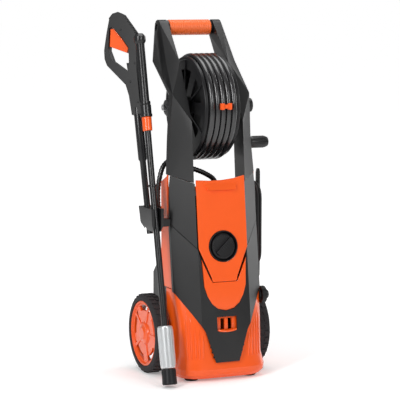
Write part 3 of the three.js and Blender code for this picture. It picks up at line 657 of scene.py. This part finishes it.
knob_place = Matrix.Translation(at(*KNOB_CENTRE)) @ Matrix.Rotation(math.pi / 2 - PANEL_LEAN, 4, "X")
dressed("knob_bezel", dark_plastic, 1.2)
dressed("power_knob", dark_plastic, 1.4)
bm = bmesh.new()
for rib in range(KNOB_RIBS):
    add_block(bm, KNOB_RIB_SIZE, about("Z", 360 * rib / KNOB_RIBS, (KNOB_R - 5, 0, KNOB_RIB_HEIGHT)))
put("knob_ribs", bm, dark_plastic, "knob", edge=0.5, where=knob_place)
bm = bmesh.new()
for rib in range(BAR_RIBS):
    along = BAR_RIB_PITCH * (rib - (BAR_RIBS - 1) / 2)
    add_block(bm, BAR_RIB_SIZE, about("Z", -45, (0, along, BAR_RIB_HEIGHT)))
put("knob_bar_ribs", bm, dark_plastic, "knob", edge=0.4, where=knob_place)

# ---------------------------------------------------------------- uprights, arms and handle
# Black moulded uprights continue the columns and carry swept arms. A steel bar joins the arms'
# heads, inside a soft orange grip with fine rings along it and a black collar at each end.
HANDLE_Y = 88.0
HANDLE_Z = 880.0
COLLAR_FROM = 58.4
COLLAR_TO = 62.6
GRIP_HALF = 57.0
GRIP_R = 19.0
GRIP_RINGS = 18
RING_PITCH = 2 * GRIP_HALF / GRIP_RINGS
RING_HEIGHT = 0.8
RING_FLANK = 1.2
GROOVE_R = GRIP_R - 0.2
COLLAR_BORE = 9.3
COLLAR_R = 18.6
COLLAR_LIP_R = 17.4

for node in ("left_upright", "right_upright"):
    dressed(node, black_plastic, 2.4, angle=14, segments=3)
for node in ("left_arm", "right_arm"):
    dressed(node, black_plastic, 2.0, angle=12, segments=3)
dressed("handle_bar", steel, 0.6)
orange_grip = moulding("orange_grip", (0.92, 0.16, 0.03), 0.42, grain=500)
dressed("handle_grip", orange_grip, 0.8)
handle = Matrix.Translation(at(0, HANDLE_Y, HANDLE_Z))
waves = []
for ring in range(GRIP_RINGS):
    left = -GRIP_HALF + ring * RING_PITCH
    crest = GRIP_R + RING_HEIGHT
    waves += [(left, GROOVE_R), (left + RING_FLANK, crest), (left + RING_PITCH - RING_FLANK, crest)]
waves.append((GRIP_HALF, GROOVE_R))
rings = spun([*waves, (GRIP_HALF, GRIP_R - 2), (-GRIP_HALF, GRIP_R - 2)])
put("grip_rings", rings, orange_grip, "chassis", where=handle)
for side, label in ((-1, "left"), (1, "right")):
    ends = (side * COLLAR_FROM, side * COLLAR_TO)
    collar = spun([
        (ends[0], COLLAR_BORE), (ends[0], COLLAR_R), (ends[1], COLLAR_LIP_R), (ends[1], COLLAR_BORE),
    ])
    grip_collar = put(label + "_grip_collar", collar, black_plastic, "chassis", edge=0.5, where=handle)

# ---------------------------------------------------------------- hose reel
# The drum and its two spoked flanges are dark mouldings on a steel axle, held in brackets between
# the uprights. The high-pressure hose is wound in two layers of five turns, under an orange clip.
REEL_Z = 681.0
HOSE_R = 7.5
OUTER_LAY = 128.5
INNER_LAY = 113.6
HOSE_TURNS = 5
TURN_STEPS = 48
FLANGE_SPOKES = 6
FLANGE_BEAD = ((46.2, 119), (47.8, 120.5), (47.8, 126), (46.2, 127.4))
SPOKE_SIZE = (3.0, 4, 84)
SPOKE_X = 47
SPOKE_R = 76
STEP_ACROSS = 0.15
FIRST_TURN = math.radians(-40)

hose_rubber = moulding("hose_rubber", (0.012, 0.012, 0.013), 0.24, grain=300, spread=0.06, shine=0.9)
for node in ("left_reel_bracket", "right_reel_bracket"):
    dressed(node, black_plastic, 1.4)
dressed("reel_axle", steel, 0.5)
dressed("reel_drum", dark_plastic, 0.6)
reel = Matrix.Translation(at(0, 0, REEL_Z))
for side, label in ((-1, "left"), (1, "right")):
    dressed(label + "_reel_flange", dark_plastic, 1.0)
    rim = spun([(side * along, radius) for along, radius in FLANGE_BEAD], steps=60)
    for spoke in range(FLANGE_SPOKES):
        add_block(rim, SPOKE_SIZE, about("X", 360 * spoke / FLANGE_SPOKES, (side * SPOKE_X, 0, SPOKE_R)))
    flange_ribs = put(label + "_flange_ribs", rim, dark_plastic, "reel", edge=0.5, where=reel)


def wound_layer(radius, start, step, turns):
    """Turns laid side by side, each stepping across by one hose width low at the back."""
    points = []
    for index in range(turns * TURN_STEPS + 1):
        turn, part = divmod(index / TURN_STEPS, 1)
        ease = max(0.0, (part - 1 + STEP_ACROSS) / STEP_ACROSS)
        across = start + step * (min(turn, turns - 1) + (ease if turn < turns - 1 else 0))
        angle = 2 * math.pi * part + FIRST_TURN
        points.append((across, radius * math.cos(angle), REEL_Z + radius * math.sin(angle)))
    return points


edge_turn = (HOSE_TURNS - 1) * HOSE_R
inner_turns = wound_layer(INNER_LAY, edge_turn, -2 * HOSE_R, HOSE_TURNS)
outer_turns = wound_layer(OUTER_LAY, -edge_turn, 2 * HOSE_R, HOSE_TURNS)
wound_hose = cord_line([*inner_turns, *outer_turns[2:]], "wound_hose", 2 * HOSE_R, hose_rubber)
wound_hose.data.bevel_resolution = 4
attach(wound_hose, "reel")
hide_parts("hose_coil")
dressed("hose_clip", orange_plastic, 1.0)

# ---------------------------------------------------------------- crank and its grip
# The moulded crank is pressed on the end of the reel's axle, and a loose black grip with
# rounded flutes turns on the pin at its end.
CRANK_GRIP_Z = REEL_Z - 96.0
GRIP_FLUTES = 10
FLUTE_SIZE = (34, 3.0, 1.6)
FLUTE_X = 157
FLUTE_R = 14.9

dressed("crank_arm", black_plastic, 1.4)
dressed("crank_grip", black_plastic, 1.2)
bm = bmesh.new()
for flute in range(GRIP_FLUTES):
    add_block(bm, FLUTE_SIZE, about("X", 360 * flute / GRIP_FLUTES, (FLUTE_X, 0, FLUTE_R)))
grip_place = Matrix.Translation(at(0, 0, CRANK_GRIP_Z))
flutes = put("crank_grip_flutes", bm, black_plastic, "crank_grip_body", edge=0.6, where=grip_place)

# ---------------------------------------------------------------- connecting hose and water inlet
# A short ribbed hose arches from a coupling on the tower's left side into the deck under the reel.
# The garden-hose inlet is a spigot on the right of the tub with a knurled nut that turns on it.
HOSE_ROUTE = [
    (-120, 6, 430.4), (-120, 5, 480), (-106, 4, 532), (-76, 2, 548), (-40, -2, 528), (0, -6, 512),
    (28, -8, 494), (37, -8, 470), (38.5, -8, 455),
]
ROUTE_STEPS = 12
HOSE_TUBE_R = 7.0
GROOVE_SHARE = 0.86
NUT_RIBS = 16
NUT_RIB_SIZE = (11, 3.2, 1.6)
NUT_RIB_X = 129.5
NUT_RIB_R = 21.4
INLET_CENTRE = (0, -84, 200)


def smooth_route(points, steps):
    """A smooth line through given points."""
    ends = [points[0], *points, points[-1]]
    line = []
    for before, first, second, after in zip(ends, ends[1:], ends[2:], ends[3:]):
        a, b, c, d = (Vector(p) for p in (before, first, second, after))
        for step in range(steps):
            t = step / steps
            line.append(0.5 * (2 * b + (c - a) * t + (2 * a - 5 * b + 4 * c - d) * t ** 2
                               + (3 * b - a - 3 * c + d) * t ** 3))
    line.append(Vector(points[-1]))
    return line


route = smooth_route(HOSE_ROUTE, ROUTE_STEPS)
ribbed = [(*place, 1.0 if index % 2 else GROOVE_SHARE) for index, place in enumerate(route)]
arch = beads("connecting_hose_ribbed", [ribbed], HOSE_TUBE_R, hose_rubber, "chassis")
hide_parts("connecting_hose")
dressed("hose_coupling", black_plastic, 1.0)
dressed("inlet_spigot", black_plastic, 0.6)
dressed("inlet_ring", dark_plastic, 0.8)
inlet = Matrix.Translation(at(*INLET_CENTRE))
bm = bmesh.new()
for rib in range(NUT_RIBS):
    add_block(bm, NUT_RIB_SIZE, about("X", 360 * rib / NUT_RIBS, (NUT_RIB_X, 0, NUT_RIB_R)))
put("inlet_nut_ribs", bm, dark_plastic, "inlet_nut", edge=0.5, where=inlet)

# ---------------------------------------------------------------- holder and lance
# A moulded holder on the left side grips the lance tube and takes the gun's foot. The lance is a
# black tube with a round cap, an orange band, and a bright fluted sleeve over a ribbed nozzle.
LANCE_LEAN = math.atan(0.224)
LANCE_FOOT = (-163, -171, 0)
CAP_R = 14.6
CAP_Z = 873.4
TUBE_R = 7.9
SLEEVE_FLUTES = 16
SLEEVE_FLUTE_SIZE = (1.4, 3.2, 88)
SLEEVE_R = 18.9
SLEEVE_Z = 100
TIP_RIBS = 10
TIP_RIB_SIZE = (2.0, 3.4, 34)
TIP_R = 17.4
TIP_Z = 28

silver_sleeve = moulding("silver_sleeve", (0.72, 0.74, 0.75), 0.30, metal=0.75, spread=0.05)
lance_black = moulding("dark_plastic", (0.010, 0.010, 0.011), 0.26, spread=0.05)
dressed("holder", black_plastic, 2.4, angle=20, segments=3)
lance = Matrix.Translation(at(*LANCE_FOOT)) @ Matrix.Rotation(-LANCE_LEAN, 4, "X")
upright = Matrix.Rotation(math.radians(-90), 4, "Y")
dressed("lance_tube", lance_black, 0.3)
dressed("lance_band", orange_plastic, 0.8)
dressed("lance_sleeve", lance_black, 1.2)
dressed("nozzle_sleeve", silver_sleeve, 1.4)
dressed("nozzle_tip", dark_plastic, 1.0)
cap = bmesh.new()
bmesh.ops.create_uvsphere(cap, u_segments=28, v_segments=16, radius=CAP_R)
bmesh.ops.translate(cap, vec=(0, 0, CAP_Z), verts=cap.verts)
put("lance_cap", cap, lance_black, "lance", where=lance)
for name, low, high, radius in (
    ("lance_lower_collar", 500, 506, 10.4),
    ("lance_middle_collar", 708, 716, 13.2),
    ("lance_socket_ring", 676.6, 684, 15.2),
):
    collar = spun([
        (low, TUBE_R), (low, radius - 1), (low + 1, radius),
        (high - 1, radius), (high, radius - 1), (high, TUBE_R),
    ])
    bmesh.ops.rotate(collar, cent=(0, 0, 0), matrix=upright.to_3x3(), verts=collar.verts)
    put(name, collar, lance_black, "lance", where=lance)
bm = bmesh.new()
for flute in range(SLEEVE_FLUTES):
    add_block(bm, SLEEVE_FLUTE_SIZE, about("Z", 360 * flute / SLEEVE_FLUTES, (SLEEVE_R, 0, SLEEVE_Z)))
put("sleeve_flutes", bm, silver_sleeve, "nozzle", edge=0.6, where=lance)
bm = bmesh.new()
for rib in range(TIP_RIBS):
    add_block(bm, TIP_RIB_SIZE, about("Z", 360 * rib / TIP_RIBS, (TIP_R, 0, TIP_Z)))
put("nozzle_tip_ribs", bm, dark_plastic, "nozzle", edge=0.6, where=lance)

# ---------------------------------------------------------------- spray gun
# The gun's black body has screws in its left face, a ribbed back to its grip and a loop that guards
# the fingers. An orange trigger turns on a pin in it, with a small lock at the trigger's foot.
GUN_LEAN = math.atan(0.2575)
GUN_YAW = math.radians(45)
GUN_FOOT = (-163, -43, 372)
GUARD = [(70, 476), (71, 454), (66, 437), (21, 380)]
GUARD_WIDTH = 23.4
GUARD_THICK = 3.2
GUARD_SHARE = 0.94
BACK_RIB_SIZE = (20, 2.4, 2.6)
RIBS_A_STRETCH = 3
GUN_SCREW_R = 3.0
GUN_SCREW_TOP_R = 2.2
GUN_SCREW_HEIGHT = 1.4
GUN_SCREWS = ((-8, 430), (-6, 330), (20, 520), (8, 385))
HEAD_FROM_Z = 500
BODY_SIDE_X = -11.4
HEAD_SIDE_X = -14.4
BACK = [(-19, 480), (-21, 497), (-16.5, 511), (-2, 536), (12, 560)]

gun = (
    Matrix.Translation(at(*GUN_FOOT))
    @ Matrix.Rotation(-GUN_LEAN, 4, "X")
    @ Matrix.Rotation(GUN_YAW, 4, "Z")
)
dressed("gun_body", black_plastic, 2.2, angle=24, segments=3)
dressed("gun_trigger", orange_plastic, 1.6)
dressed("trigger_lock", dark_plastic, 0.6)
dressed("gun_barrel", lance_black, 0.6)
bm = bmesh.new()
for (y0, z0), (y1, z1) in zip(BACK, BACK[1:]):
    lean = math.atan2(y1 - y0, z1 - z0)
    for step in range(RIBS_A_STRETCH):
        share = (step + 0.5) / RIBS_A_STRETCH
        place = Matrix.Translation((0, y0 + (y1 - y0) * share, z0 + (z1 - z0) * share))
        add_block(bm, BACK_RIB_SIZE, place @ Matrix.Rotation(-lean, 4, "X"))
put("gun_back_ribs", bm, dark_plastic, "gun", edge=0.6, where=gun)
bm = bmesh.new()
for (y0, z0), (y1, z1) in zip(GUARD, GUARD[1:]):
    length = math.hypot(y1 - y0, z1 - z0)
    place = Matrix.Translation((0, (y0 + y1) / 2, (z0 + z1) / 2))
    lean = math.atan2(y1 - y0, z1 - z0)
    size = (GUARD_WIDTH, GUARD_THICK, length * GUARD_SHARE)
    add_block(bm, size, place @ Matrix.Rotation(-lean, 4, "X"))
put("guard_band", bm, black_plastic, "gun", edge=1.0, where=gun)
bm = bmesh.new()
for y, z in GUN_SCREWS:
    head = bmesh.ops.create_cone(
        bm,
        cap_ends=True,
        segments=14,
        radius1=GUN_SCREW_R,
        radius2=GUN_SCREW_TOP_R,
        depth=GUN_SCREW_HEIGHT,
    )
    x = BODY_SIDE_X if z < HEAD_FROM_Z else HEAD_SIDE_X
    facing = Matrix.Translation((x, y, z)) @ Matrix.Rotation(math.radians(-90), 4, "Y")
    bmesh.ops.transform(bm, matrix=facing, verts=head["verts"])
put("gun_screws", bm, dark_plastic, "gun", where=gun)

# ---------------------------------------------------------------- cord hooks
# Two moulded hooks hold the wound cord on the right side. The lower one is fixed to the shell and
# the upper one turns down on its post, so that the whole hank slips off at once.
dressed("lower_cord_hook", black_plastic, 1.4)
dressed("upper_cord_hook", black_plastic, 1.4)
